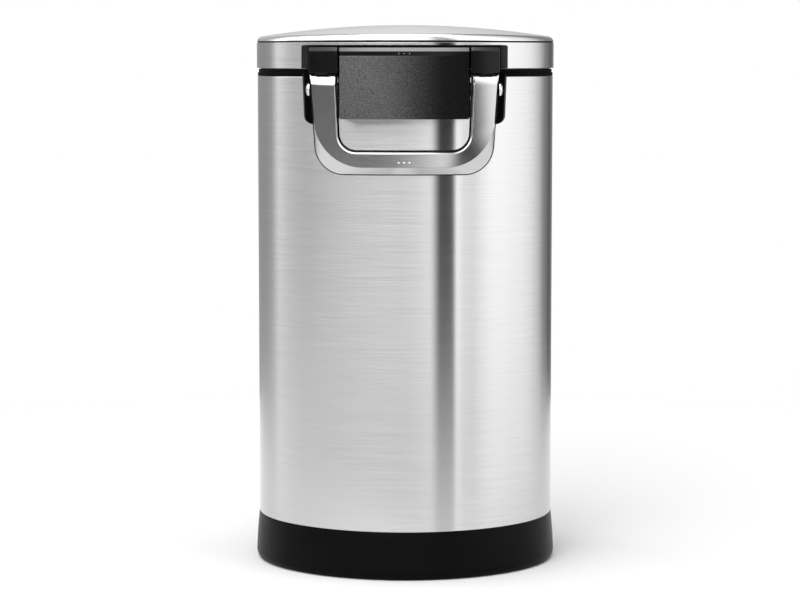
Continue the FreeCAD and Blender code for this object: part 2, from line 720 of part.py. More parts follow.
# ---- all parts ---------------------------------------------------------------------------------------
def build():
    """Every node of the bin by name."""
    return {
        "base_skirt": base_skirt(),
        "base_pad": base_pad(),
        "body_shell": body_shell(),
        "collar": collar(),
        "inner_bucket": inner_bucket(),
        "front_bracket": front_bracket(),
        "centre_panel": centre_panel(),
        "bracket_screws": bracket_screws(),
        "pivot_screws": pivot_screws(),
        "pivot_spacers": pivot_spacers(),
        "hinge_bracket": hinge_bracket(),
        "hinge_bracket_screws": hinge_bracket_screws(),
        "hinge_pin": hinge_pin(),
        "hinge_caps": hinge_caps(),
        "lid_shell": lid_shell(),
        "lid_liner": lid_liner(),
        "lid_gasket": lid_gasket(),
        "lid_housing": lid_housing(),
        "catch_block_left": catch_block(-1),
        "catch_block_right": catch_block(1),
        "catch_pads": catch_pads(),
        "housing_screws": housing_screws(),
        "hinge_arm": hinge_arm(),
        "hinge_arm_screws": hinge_arm_screws(),
        "bail_bar": bail_bar(),
        "bail_backing": bail_backing(),
        "bail_screws": bail_screws(),
    }


os.makedirs("parts", exist_ok=True)
for node, shape in build().items():
    shape.exportStep("parts/" + node + ".step")
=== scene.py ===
import math

import bmesh
import bpy
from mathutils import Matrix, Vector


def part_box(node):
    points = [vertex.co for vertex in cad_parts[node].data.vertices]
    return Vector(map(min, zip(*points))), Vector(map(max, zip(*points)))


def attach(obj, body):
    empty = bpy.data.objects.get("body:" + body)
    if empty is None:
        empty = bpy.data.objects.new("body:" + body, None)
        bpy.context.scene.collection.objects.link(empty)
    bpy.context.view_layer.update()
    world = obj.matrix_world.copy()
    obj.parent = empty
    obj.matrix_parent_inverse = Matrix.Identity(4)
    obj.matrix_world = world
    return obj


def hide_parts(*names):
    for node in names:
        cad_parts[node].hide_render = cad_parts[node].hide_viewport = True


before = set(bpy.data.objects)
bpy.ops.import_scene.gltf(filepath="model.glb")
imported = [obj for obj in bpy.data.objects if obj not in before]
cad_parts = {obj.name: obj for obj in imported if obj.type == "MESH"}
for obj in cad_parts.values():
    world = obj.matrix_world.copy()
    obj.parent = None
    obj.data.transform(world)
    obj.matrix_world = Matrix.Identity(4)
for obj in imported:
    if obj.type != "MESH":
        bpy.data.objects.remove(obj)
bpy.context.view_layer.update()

# Looks of an oval lidded storage bin with a front bail.
# The front faces -Y and +X is to the right. Shapes are worked out in millimetres,
# and every mesh is turned into metres when it is made.

MM = 0.001
SIDES = (-1, 1)
X, Y, Z = 0, 1, 2


# ---- sizes taken from the frame --------------------------------------------------------
def low(node, axis):
    """Lowest coordinate of a CAD node along an axis, in millimetres."""
    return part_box(node)[0][axis] / MM


def high(node, axis):
    """Highest coordinate of a CAD node along an axis, in millimetres."""
    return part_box(node)[1][axis] / MM


# plan of the body: four arcs
HALF_WIDTH = high("body_shell", X)
HALF_DEPTH = high("body_shell", Y)
SIDE_RADIUS = 126.0
SIDE_CENTRE = HALF_WIDTH - SIDE_RADIUS
FRONT_RADIUS = ((SIDE_CENTRE ** 2 + HALF_DEPTH ** 2 - SIDE_RADIUS ** 2)
                / (2 * (HALF_DEPTH - SIDE_RADIUS)))
FRONT_CENTRE = FRONT_RADIUS - HALF_DEPTH
JOIN_ANGLE = math.degrees(math.atan2(FRONT_CENTRE, SIDE_CENTRE))
ARC_STEPS = 36

# body and collar
SHEET = 0.8
BASE_TOP = low("body_shell", Z)
STEEL_TOP = high("body_shell", Z)
STEEL_ROLL = 1.1
SPIGOT_TALL = 12
RIM_TOP = high("collar", Z)
RIM_INSET = 6.0
COLLAR_TOP = RIM_TOP - 3.5
COLLAR_BOTTOM = low("collar", Z)
LEDGE_TOP = 497.5
LEDGE_BOTTOM = 495.0

# lid
LID_BOTTOM = low("lid_shell", Z)
CROWN_TOP = high("lid_shell", Z)
LID_OUT = high("lid_shell", X) - HALF_WIDTH
LID_WALL = 1.2
HEM = 2.4
HEM_THICK = 0.7
SEAM_LOW = 533.7
SEAM_HIGH = 535.1
SEAM_SUNK = 0.8
DOME_RADIUS = 944.0
SHOULDER = 7.0
DOME_SHARES = (0.97, 0.93, 0.86, 0.75, 0.6, 0.45, 0.3, 0.15)

# curved front assembly
FACE_RADIUS = 260.0
FACE_FRONT = low("bail_bar", Y)
FACE_CENTRE = FACE_FRONT + FACE_RADIUS

PANEL_HALF = high("centre_panel", X)
PANEL_BOTTOM = low("centre_panel", Z)
PANEL_TOP = high("centre_panel", Z)
BLOCK_IN = low("catch_block_right", X)
BLOCK_OUT = high("catch_block_right", X)
BLOCK_BOTTOM = low("catch_block_right", Z)
BLOCK_TOP = high("catch_block_right", Z)
COVER_BEVEL = 3.6
COVER_THICK = 5.0
PANEL_LEAN = 2.0
BAND_TALL = 3.9
BAND_TOP = PANEL_TOP - COVER_BEVEL - 0.5
BAND_BOTTOM = BAND_TOP - BAND_TALL
BAND_SUNK = 0.6
PAD_HALF = 6.35
HOUSING_INSET = 5.7
HOUSING_BOTTOM = low("lid_housing", Z)
HOUSING_TOP = high("lid_housing", Z)
HOUSING_FOOT_HALF = high("lid_housing", X)
HOUSING_FRONT_HALF = 94.2
HOUSING_FOOT_Y = -98.6
HOUSING_END_ROUND = 3.0

WING_FRONT = -123.0
WING_DEEP = 28.0
WING_TOP_HALF = 102.0
WING_LOW_HALF = 100.3
WING_IN = 65.5
WEB_IN = 55.0
WEB_BOTTOM = 462.0
WING_BOTTOM = low("front_bracket", Z)
WING_TOP = high("front_bracket", Z)
WING_CORNER = 8.0
WING_DRAFT = 3.0
CORE_HALF = PANEL_HALF + 1.2
CORE_BOTTOM = 460.5
CORE_TOP = 503.0

# bail
PIVOT_Y = -139.0
PIVOT_Z = 487.7
ARM_TOP = 502.8
ARM_OUT = 93.0
ARM_OUT_TAPER = 0.0697
ARM_IN = 67.4
ARM_IN_TAPER = 0.0384
BAIL_BOTTOM = low("bail_bar", Z)
BAIL_CORNER = 29.5
FACE_BOTTOM = 412.5
FACE_CORNER = 47.0
FACE_STEP = 0.9
GRIP_TOP = 427.0
GRIP_CORNER = 18.5
BAIL_THICK = 14.0
BAR_THICK = 8.0
ARM_END_ROUND = 19.0
ARM_END_START = 491.0
BAR_STEP = 1.0
BACKING_STEP = 2.0
INNER_EDGE = 1.2
ARM_STEPS, TURN_STEPS, GRIP_STEPS = 26, 22, 16

# pivot screws
HEAD_RADIUS = 6.45
HEAD_RIM = 0.4
HEAD_DOME = 3.0
RECESS_RADIUS = 1.7
RECESS_FLOOR = 1.6

# rows of three dots
DOT_PLACES = (-5.2, 0, 5.2)
PANEL_DOT_Z = PANEL_TOP - COVER_BEVEL - 2.2
GRIP_DOT_Z = 417.0


# ---- small geometry --------------------------------------------------------------------
SHARP_EDGE = 28.0
SHADING_CREASE = 35.0


def front_y(x, offset):
    """Y of the body's front wall at x, moved outwards by offset."""
    return FRONT_CENTRE - math.sqrt((FRONT_RADIUS + offset) ** 2 - x * x)


def bend(x, depth, z):
    """Point of the front assembly: depth is measured back from its curved surface."""
    return x, FACE_CENTRE - math.sqrt((FACE_RADIUS - depth) ** 2 - x * x), z


def oval_stations():
    """Centre x, centre y, radius and angle of points all round the plan."""
    beta = JOIN_ANGLE
    arcs = (
        (SIDE_CENTRE, 0.0, SIDE_RADIUS, -beta, 2 * beta),
        (0.0, -FRONT_CENTRE, FRONT_RADIUS, beta, 180 - 2 * beta),
        (-SIDE_CENTRE, 0.0, SIDE_RADIUS, 180 - beta, 2 * beta),
        (0.0, FRONT_CENTRE, FRONT_RADIUS, 180 + beta, 180 - 2 * beta),
    )
    for cx, cy, radius, start, sweep in arcs:
        for step in range(ARC_STEPS):
            yield cx, cy, radius, math.radians(start + sweep * step / ARC_STEPS)


def oval_point(station, offset):
    """Plan point at a station, moved outwards by offset."""
    cx, cy, radius, angle = station
    return cx + (radius + offset) * math.cos(angle), cy + (radius + offset) * math.sin(angle)


def rounded(points, radius, steps=4):
    """Closed polygon with each corner replaced by an arc; radius may be one value or a list."""
    count = len(points)
    radii = radius if isinstance(radius, (list, tuple)) else [radius] * count
    result = []
    for index, (px, py) in enumerate(points):
        size = radii[index]
        if size <= 0:
            result.append((px, py))
            continue
        ax, ay = points[index - 1]
        bx, by = points[(index + 1) % count]
        la, lb = math.hypot(ax - px, ay - py), math.hypot(bx - px, by - py)
        ua, ub = ((ax - px) / la, (ay - py) / la), ((bx - px) / lb, (by - py) / lb)
        half = math.acos(max(-1.0, min(1.0, ua[0] * ub[0] + ua[1] * ub[1]))) / 2
        reach = min(size / math.tan(half), 0.49 * la, 0.49 * lb)
        size = reach * math.tan(half)
        middle = (ua[0] + ub[0], ua[1] + ub[1])
        length = math.hypot(*middle)
        away = size / math.sin(half)
        cx, cy = px + middle[0] / length * away, py + middle[1] / length * away
        start = math.atan2(py + ua[1] * reach - cy, px + ua[0] * reach - cx)
        end = math.atan2(py + ub[1] * reach - cy, px + ub[0] * reach - cx)
        turn = (end - start + math.pi) % (2 * math.pi) - math.pi
        for step in range(steps + 1):
            angle = start + turn * step / steps
            result.append((cx + size * math.cos(angle), cy + size * math.sin(angle)))
    return result


def bridge(bm, first, second, closed=True):
    """Faces between two rings with the same number of vertices."""
    count = len(first)
    for index in range(count if closed else count - 1):
        after = (index + 1) % count
        bm.faces.new((first[index], first[after], second[after], second[index]))


def ring_of(bm, points):
    """Vertices at the given points."""
    return [bm.verts.new(point) for point in points]


def bevel_sharp(bm, width):
    """Rounds every edge that turns by more than SHARP_EDGE."""
    bm.normal_update()
    limit = math.radians(SHARP_EDGE)
    sharp = [e for e in bm.edges if len(e.link_faces) == 2 and e.calc_face_angle() > limit]
    bmesh.ops.bevel(bm, geom=sharp, offset=width, offset_type="OFFSET", segments=3,
                    profile=0.5, affect="EDGES", clamp_overlap=True)


def piece(name, bm, body, material, replaced=()):
    """Object from a mesh in millimetres: rides on body and stands for the replaced nodes."""
    bmesh.ops.remove_doubles(bm, verts=bm.verts, dist=0.001)
    bmesh.ops.recalc_face_normals(bm, faces=bm.faces)
    bmesh.ops.scale(bm, vec=(MM, MM, MM), verts=bm.verts)
    mesh = bpy.data.meshes.new(name)
    bm.to_mesh(mesh)
    bm.free()
    mesh.shade_smooth()
    mesh.set_sharp_from_angle(angle=math.radians(SHADING_CREASE))
    mesh.materials.append(material)
    made = bpy.data.objects.new(name, mesh)
    bpy.context.collection.objects.link(made)
    weighted = made.modifiers.new("weighted", "WEIGHTED_NORMAL")
    weighted.keep_sharp = True
    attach(made, body)
    if replaced:
        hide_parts(*replaced)
    return made


# ---- mesh builders ---------------------------------------------------------------------
def oval_sweep(section):
    """Mesh with a closed (offset, height) section carried all round the oval."""
    bm = bmesh.new()
    rings = []
    for station in oval_stations():
        points = []
        for offset, z in section:
            x, y = oval_point(station, offset)
            points.append((x, y, z))
        rings.append(ring_of(bm, points))
    for index, ring in enumerate(rings):
        bridge(bm, rings[index - 1], ring)
    return bm


def add_oval_plate(bm, offset, z0, z1):
    """Adds a plate with the oval plan to a mesh."""
    rings = []
    for z in (z0, z1):
        points = []
        for station in oval_stations():
            x, y = oval_point(station, offset)
            points.append((x, y, z))
        rings.append(ring_of(bm, points))
    bridge(bm, rings[0], rings[1])
    bm.faces.new(rings[0])
    bm.faces.new(rings[1])


def add_revolved(bm, profile, origin, axis, steps=40):
    """Adds a solid of revolution: profile is (distance along axis, radius), axis is 'x' or 'y'."""
    ox, oy, oz = origin
    rings = []
    for along, radius in profile:
        if radius <= 0:
            tip = (ox + along, oy, oz) if axis == "x" else (ox, oy + along, oz)
            rings.append([bm.verts.new(tip)])
            continue
        points = []
        for step in range(steps):
            angle = 2 * math.pi * step / steps
            u, v = radius * math.cos(angle), radius * math.sin(angle)
            if axis == "x":
                points.append((ox + along, oy + u, oz + v))
            else:
                points.append((ox + u, oy + along, oz + v))
        rings.append(ring_of(bm, points))
    for first, second in zip(rings, rings[1:]):
        if len(first) == 1:
            first, second = second, first
        if len(second) == 1:
            for index in range(steps):
                bm.faces.new((first[index], first[(index + 1) % steps], second[0]))
        else:
            bridge(bm, first, second)
    for ring in (rings[0], rings[-1]):
        if len(ring) > 1:
            bm.faces.new(ring)


def bent_block(x0, x1, section, radius, steps):
    """Block of the curved front: a (depth, z) section carried from x0 to x1, edges rounded."""
    bm = bmesh.new()
    rings = []
    for step in range(steps + 1):
        x = x0 + (x1 - x0) * step / steps
        rings.append(ring_of(bm, [(x, depth, z) for depth, z in section]))
    for first, second in zip(rings, rings[1:]):
        bridge(bm, first, second)
    bm.faces.new(rings[0])
    bm.faces.new(rings[-1])
    bmesh.ops.recalc_face_normals(bm, faces=bm.faces)
    bevel_sharp(bm, radius)
    for vertex in bm.verts:
        vertex.co = bend(*vertex.co)
    return bm


def plan_block(outline, z0, z1, radius, droop=None):
    """Upright prism on an (x, y) outline, edges rounded; droop(x) lowers its top at x."""
    bm = bmesh.new()
    foot = ring_of(bm, [(x, y, z0) for x, y in outline])
    crest = ring_of(bm, [(x, y, z1 - (droop(x) if droop else 0.0)) for x, y in outline])
    bridge(bm, foot, crest)
    bm.faces.new(foot)
    if droop:
        half = len(outline) // 2
        for step in range(half - 1):
            bm.faces.new((crest[step], crest[step + 1], crest[-2 - step], crest[-1 - step]))
    else:
        bm.faces.new(crest)
    bmesh.ops.recalc_face_normals(bm, faces=bm.faces)
    bevel_sharp(bm, radius)
    return bm


# ---- materials -------------------------------------------------------------------------
def start_material(name):
    """New node material: returns it, its tree and its shader."""
    material = bpy.data.materials.new(name)
    material.use_nodes = True
    tree = material.node_tree
    return material, tree, tree.nodes["Principled BSDF"]


RAMP_LOW, RAMP_HIGH = 0.3, 0.7


def noise(tree, stretch, detail=3.0):
    """Noise over the object's own coordinates; stretch is cells per metre along x, y, z."""
    coordinates = tree.nodes.new("ShaderNodeTexCoord")
    mapping = tree.nodes.new("ShaderNodeMapping")
    mapping.inputs["Scale"].default_value = stretch
    texture = tree.nodes.new("ShaderNodeTexNoise")
    texture.inputs["Scale"].default_value = 1.0
    texture.inputs["Detail"].default_value = detail
    texture.inputs["Roughness"].default_value = 0.55
    tree.links.new(coordinates.outputs["Object"], mapping.inputs["Vector"])
    tree.links.new(mapping.outputs["Vector"], texture.inputs["Vector"])
    return texture.outputs["Fac"]


def colours(tree, factor, socket, dark, light):
    """Ramp from a dark to a light grey, driven by factor, into a colour socket."""
    ramp = tree.nodes.new("ShaderNodeValToRGB")
    ends = zip(ramp.color_ramp.elements, (RAMP_LOW, RAMP_HIGH), (dark, light))
    for element, position, level in ends:
        element.position = position
        element.color = (level, level, level, 1.0)
    tree.links.new(factor, ramp.inputs["Fac"])
    tree.links.new(ramp.outputs["Color"], socket)


def value_range(tree, factor, socket, least, most):
    """Maps a noise factor onto a range of values, into a number socket."""
    spread = tree.nodes.new("ShaderNodeMapRange")
    spread.inputs["From Min"].default_value = RAMP_LOW
    spread.inputs["From Max"].default_value = RAMP_HIGH
    spread.inputs["To Min"].default_value = least
    spread.inputs["To Max"].default_value = most
    tree.links.new(factor, spread.inputs["Value"])
    tree.links.new(spread.outputs["Result"], socket)


def fade_along(tree, axis, start, end, at_start, at_end):
    """Value that eases from one level to another along an object axis; start and end in metres."""
    place = tree.nodes.new("ShaderNodeSeparateXYZ")
    tree.links.new(tree.nodes.new("ShaderNodeTexCoord").outputs["Object"], place.inputs["Vector"])
    fade = tree.nodes.new("ShaderNodeMapRange")
    fade.interpolation_type = "SMOOTHSTEP"
    fade.inputs["From Min"].default_value = start
    fade.inputs["From Max"].default_value = end
    fade.inputs["To Min"].default_value = at_start
    fade.inputs["To Max"].default_value = at_end
    tree.links.new(place.outputs[axis], fade.inputs["Value"])
    return fade.outputs["Result"]


def bump(tree, factor, shader, strength, distance):
    """Bump from factor; distance is in metres."""
    made = tree.nodes.new("ShaderNodeBump")
    made.inputs["Strength"].default_value = strength
    made.inputs["Distance"].default_value = distance
    tree.links.new(factor, made.inputs["Height"])
    tree.links.new(made.outputs["Normal"], shader.inputs["Normal"])


def brushed_steel(name, stretch, tone, rough, anisotropic=0.0):
    """Brushed stainless steel, its grain drawn out along the short stretches."""
    material, tree, shader = start_material(name)
    shader.inputs["Metallic"].default_value = 1.0
    fine = noise(tree, stretch)
    colours(tree, fine, shader.inputs["Base Color"], tone * 0.95, tone * 1.04)
    value_range(tree, fine, shader.inputs["Roughness"], rough * 0.92, rough * 1.08)
    bump(tree, fine, shader, 0.02, 0.00001)
    if anisotropic:
        shader.inputs["Anisotropic"].default_value = anisotropic
        shader.inputs["Anisotropic Rotation"].default_value = 0.25
        tangent = tree.nodes.new("ShaderNodeTangent")
        tangent.direction_type = "RADIAL"
        tangent.axis = "Z"
        tree.links.new(tangent.outputs["Tangent"], shader.inputs["Tangent"])
    return material


def painted_sheen_fade(tree, shader, grain, least, most):
    """Painted sheen of the panel: its specular level is speckled, full on the left and fading past the
    middle to the right, standing in for light that falls from the left.
    """
    speckle_and_painted_sheen = tree.nodes.new("ShaderNodeMath")
    speckle_and_painted_sheen.operation = "MULTIPLY"
    # painted sheen: the specular level is 1.0 on the left and 0.1 on the right
    tree.links.new(fade_along(tree, "X", -0.035, 0.042, 1.0, 0.1), speckle_and_painted_sheen.inputs[0])
    value_range(tree, grain, speckle_and_painted_sheen.inputs[1], least, most)
    tree.links.new(speckle_and_painted_sheen.outputs["Value"], shader.inputs["Specular IOR Level"])


def moulded(name, level, rough, grain, depth, gloss=0.5, sparkle_and_painted_sheen=0.0, index=1.5):
    """Moulded plastic: grain is cells per metre, depth the height of its texture in metres.

    gloss is the specular level; the spread argument moves it either way from grain to grain and, when
    set, also adds a painted sheen that is full on the left and fades to the right.
    """
    material, tree, shader = start_material(name)
    shader.inputs["Specular IOR Level"].default_value = gloss
    shader.inputs["IOR"].default_value = index
    pebbles = noise(tree, (grain, grain, grain), detail=2.0)
    if sparkle_and_painted_sheen:
        # painted sheen, fading from left to right
        painted_sheen_fade(tree, shader, pebbles, gloss - sparkle_and_painted_sheen, gloss + sparkle_and_painted_sheen)
    broad = noise(tree, (25, 25, 25), detail=2.0)
    colours(tree, pebbles, shader.inputs["Base Color"], level * 0.8, level * 1.2)
    value_range(tree, broad, shader.inputs["Roughness"], rough * 0.9, rough * 1.1)
    bump(tree, pebbles, shader, 0.35, depth)
    return material


# cells per metre along x, y and z
BODY_GRAIN = (18, 18, 1900)
DOME_GRAIN = (10, 600, 100)
BAIL_GRAIN = (40, 900, 900)
SCREW_GRAIN = (300, 300, 300)
ZINC_GRAIN = (500, 500, 500)

body_steel = brushed_steel("body_steel", BODY_GRAIN, 0.58, 0.185, anisotropic=1.0)
lid_steel = brushed_steel("lid_steel", DOME_GRAIN, 0.7, 0.24)
bail_steel = brushed_steel("bail_steel", BAIL_GRAIN, 0.58, 0.16)
screw_steel = brushed_steel("screw_steel", SCREW_GRAIN, 0.75, 0.12)
zinc_metal = brushed_steel("zinc_metal", ZINC_GRAIN, 0.5, 0.3)
black_base = moulded("black_base", 0.001, 0.36, 1800, 0.00003, gloss=0.06)
# the panel's gloss carries a painted sheen, full on the left and fading to the right
black_panel = moulded("black_panel", 0.001, 0.33, 800, 0.00018, gloss=0.7, sparkle_and_painted_sheen=0.3, index=1.75)
black_block = moulded("black_block", 0.001, 0.22, 2200, 0.00002, gloss=0.28)
black_brow = moulded("black_brow", 0.002, 0.24, 2200, 0.00002, gloss=0.55)
black_hinge = moulded("black_hinge", 0.006, 0.4, 1600, 0.00004)
black_frame = moulded("black_frame", 0.0015, 0.42, 1600, 0.00004, gloss=0.4, index=1.07)
dark_collar = moulded("dark_collar", 0.001, 0.5, 1600, 0.00003, gloss=0.4, index=1.1)
grey_bucket = moulded("grey_bucket", 0.12, 0.45, 1500, 0.00004)
black_liner = moulded("black_liner", 0.012, 0.5, 1500, 0.00004)
grey_rubber = moulded("grey_rubber", 0.16, 0.75, 2500, 0.00003)
black_rubber = moulded("black_rubber", 0.004, 0.8, 2500, 0.00004, gloss=0.2)
black_nylon = moulded("black_nylon", 0.004, 0.5, 2000, 0.00002, gloss=0.2)


# ---- base ------------------------------------------------------------------------------
def make_base():
    """Flared black moulding under the steel, with a floor and a spigot inside the steel."""
    rim = low("base_skirt", Z)
    floor_low = high("base_pad", Z)
    floor_high = floor_low + 3
    widest = 9.0
    flare = high("base_skirt", X) - HALF_WIDTH
    foot = -0.6
    foot_in = -6.0
    shoulder = 0.35
    spigot_out, spigot_in = -1.1, -3.6
    section = []
    for step in range(13):
        angle = math.radians(90 * step / 12)
        section.append((foot + (flare - foot) * math.sin(angle),
                        widest - (widest - rim) * math.cos(angle)))
    for step in range(1, 9):
        share = step / 8
        bulge = shoulder * math.sin(math.pi * share)
        section.append((flare + (shoulder - flare) * share + bulge,
                        widest + (BASE_TOP - 0.9 - widest) * share))
    section += [(0.1, BASE_TOP - 0.2), (-0.3, BASE_TOP), (spigot_out, BASE_TOP),
                (spigot_out, BASE_TOP + SPIGOT_TALL), (spigot_in, BASE_TOP + SPIGOT_TALL),
                (spigot_in, floor_high), (foot_in, floor_high), (foot_in, rim)]
    bm = oval_sweep(section)
    add_oval_plate(bm, foot_in + 1, floor_low, floor_high)
    piece("base_skirt_shaped", bm, "can", black_base, ["base_skirt"])


# ---- body ------------------------------------------------------------------------------
def make_body():
    """Steel tube with a rolled upper and lower edge."""
    roll = STEEL_ROLL
    section = [(-SHEET, BASE_TOP + 0.1), (-0.25, BASE_TOP), (0.0, BASE_TOP + 0.3), (0.0, 120.0),
               (0.0, 240.0), (0.0, 360.0), (0.0, STEEL_TOP - 2 * roll)]
    for step in range(1, 9):
        angle = math.radians(20 * step)
        section.append((-roll + roll * math.cos(angle), STEEL_TOP - roll + roll * math.sin(angle)))
    section += [(-2 * roll, STEEL_TOP - 2 * roll), (-2 * roll, STEEL_TOP - 4),
                (-SHEET - 0.3, STEEL_TOP - 5)]
    piece("body_shell_shaped", oval_sweep(section), "can", body_steel, ["body_shell"])


def make_collar():
    """Dark ring between the steel's top edge and the lid, with the gasket's rim and a ledge."""
    face, rim_out, ledge_in = -0.2, -1.2, -9.5
    skirt_out, skirt_in = -2.4, -3.4
    flange_low = STEEL_TOP + 0.1
    section = rounded([(face, COLLAR_TOP), (rim_out, COLLAR_TOP), (rim_out, RIM_TOP),
                       (-RIM_INSET, RIM_TOP), (-RIM_INSET, LEDGE_TOP), (ledge_in, LEDGE_TOP),
                       (ledge_in, LEDGE_BOTTOM), (skirt_in, LEDGE_BOTTOM), (skirt_in, COLLAR_BOTTOM),
                       (skirt_out, COLLAR_BOTTOM), (skirt_out, flange_low), (face, flange_low)],
                      0.35, 2)
    piece("collar_shaped", oval_sweep(section), "can", dark_collar, ["collar"])


def make_bucket():
    """Lift-out bucket, hung by its rim."""
    foot_out, foot_in = -15.0, -17.2
    top_out, top_in = -10.2, -12.4
    rim_out = -RIM_INSET - 0.5
    floor = low("inner_bucket", Z)
    lip = high("inner_bucket", Z)
    section = rounded([(rim_out, LEDGE_TOP), (rim_out, lip), (top_in, lip), (foot_in, floor + 2),
                       (foot_in, floor), (foot_out, floor), (top_out, LEDGE_TOP)],
                      [0.4, 1.2, 1.2, 0, 0, 4, 0], 4)
    bm = oval_sweep(section)
    add_oval_plate(bm, foot_in + 0.2, floor, floor + 2.2)
    piece("inner_bucket_shaped", bm, "can", grey_bucket, ["inner_bucket"])


# ---- front bracket ---------------------------------------------------------------------
def wing_outline():
    """Half outline of the bracket's pad in (x, z), from its top round by its lower corner."""
    return rounded([(WING_TOP_HALF, WING_TOP), (WING_LOW_HALF, WING_BOTTOM), (WING_IN, WING_BOTTOM),
                    (WING_IN, WEB_BOTTOM), (WEB_IN, WEB_BOTTOM), (WEB_IN, WING_TOP)],
                   [0, WING_CORNER, 1, 0, 0, 0], 8)


def make_wings():
    """Pads either side of the bail, their sides sloping outwards to the back.

    Their backs are flat and pass through the steel and the bucket behind them.
    """
    sloping_from = 80
    for side, word in zip(SIDES, ("left", "right")):
        bm = bmesh.new()
        rings = []
        for y, draft in ((WING_FRONT, WING_DRAFT), (WING_FRONT + WING_DEEP, 0.0)):
            ring = [(side * (x - (draft if x > sloping_from else 0.0)), y, z)
                    for x, z in wing_outline()]
            rings.append(ring_of(bm, ring))
        bridge(bm, rings[0], rings[1])
        bm.faces.new(rings[0])
        bm.faces.new(rings[1])
        bmesh.ops.recalc_face_normals(bm, faces=bm.faces)
        bevel_sharp(bm, 0.8)
        piece("bracket_wing_" + word, bm, "can", black_frame, ["front_bracket"])


def make_core():
    """Block between the bail's arms, behind the panel, its back sunk in the body's wall."""
    steps = 12
    across = [-CORE_HALF + 2 * CORE_HALF * step / steps for step in range(steps + 1)]
    outline = [(x, bend(x, COVER_THICK + 0.1, 0)[1]) for x in across]
    outline += [(-x, front_y(x, -0.4)) for x in across]
    piece("bracket_core", plan_block(outline, CORE_BOTTOM, CORE_TOP, 0.6), "can", black_frame,
          ["front_bracket"])


# ---- covers and lid housing ------------------------------------------------------------
def cover_section(bottom, top, thick, lean=0.0):
    """(depth, z) section of a front cover with a bevelled top; its face is lean deep."""
    return [(thick, bottom), (lean, bottom), (lean, top - COVER_BEVEL), (lean + COVER_BEVEL, top),
            (thick, top)]


def make_panel_cover(name, section, inset, material):
    """One of the pieces across the middle of the front."""
    block = bent_block(-PANEL_HALF + inset, PANEL_HALF - inset, section, 0.35, 30)
    piece(name, block, "can", material, ["centre_panel"])


def make_panel():
    """Cover between the arms: leaning grained face, smooth band and bevelled brow."""
    face = [(COVER_THICK, PANEL_BOTTOM), (0.0, PANEL_BOTTOM), (PANEL_LEAN, BAND_BOTTOM),
            (COVER_THICK, BAND_BOTTOM)]
    front = PANEL_LEAN + BAND_SUNK
    bottom, top = BAND_BOTTOM - 0.2, BAND_TOP + 0.2
    band = [(COVER_THICK, bottom), (front, bottom), (front, top), (COVER_THICK, top)]
    brow = cover_section(BAND_TOP, PANEL_TOP, COVER_THICK + BAND_SUNK, PANEL_LEAN)
    make_panel_cover("centre_panel_shaped", face, 0.0, black_panel)
    make_panel_cover("panel_band", band, 0.3, black_block)
    make_panel_cover("panel_brow", brow, 0.0, black_brow)


def make_blocks():
    """Blocks over the arms, left and right of the panel."""
    section = cover_section(BLOCK_BOTTOM, BLOCK_TOP, HOUSING_INSET)
    for side, word in zip(SIDES, ("left", "right")):
        x0, x1 = sorted((side * BLOCK_IN, side * BLOCK_OUT))
        piece("catch_block_" + word + "_shaped", bent_block(x0, x1, section, 0.5, 10), "lid",
              black_block, ["catch_block_" + word])


def make_catch_pads():
    """Pads on the blocks' undersides."""
    front, back = 0.1, 2.0
    bottom = low("catch_pads", Z)
    section = [(back, bottom), (front, bottom), (front, BLOCK_BOTTOM), (back, BLOCK_BOTTOM)]
    bm = bmesh.new()
    for side in SIDES:
        centre = side * (high("catch_pads", X) - PAD_HALF)
        part = bent_block(centre - PAD_HALF, centre + PAD_HALF, section, 0.25, 6)
        mesh = bpy.data.meshes.new("pad")
        part.to_mesh(mesh)
        part.free()
        bm.from_mesh(mesh)
        bpy.data.meshes.remove(mesh)
    piece("catch_pads_shaped", bm, "lid", black_rubber, ["catch_pads"])


def housing_droop(x):
    """The housing's top rounds down towards its two ends."""
    over = max(0.0, abs(x) - HOUSING_FOOT_HALF + HOUSING_END_ROUND)
    return HOUSING_END_ROUND - math.sqrt(HOUSING_END_ROUND ** 2 - over * over)


def make_housing():
    """Black housing on the lid's front: curved face, sloping sides, back sunk in the lid's skirt."""
    slim, wide = HOUSING_FRONT_HALF, HOUSING_FOOT_HALF
    steps = 24
    corner_y = bend(slim, HOUSING_INSET, 0)[1]
    side = [(-wide + (wide - slim) * share, HOUSING_FOOT_Y + (corner_y - HOUSING_FOOT_Y) * share)
            for share in (0.0, 0.07, 0.15, 0.3, 0.6)]
    across = [-slim + 2 * slim * step / steps for step in range(steps + 1)]
    front = side + [(x, bend(x, HOUSING_INSET, 0)[1]) for x in across]
    front += [(-x, y) for x, y in reversed(side)]
    back = []
    for x, _ in reversed(front):
        on_side = abs(x) > slim
        back.append((x, HOUSING_FOOT_Y + 0.5 if on_side else front_y(x, LID_OUT - 0.3)))
    block = plan_block(front + back, HOUSING_BOTTOM, HOUSING_TOP, 0.7, housing_droop)
    piece("lid_housing_shaped", block, "lid", black_frame, ["lid_housing"])


# ---- lid -------------------------------------------------------------------------------
def dome_z(x, y):
    """Height of the lid's crown over a plan point."""
    return CROWN_TOP - DOME_RADIUS + math.sqrt(DOME_RADIUS ** 2 - x * x - y * y)


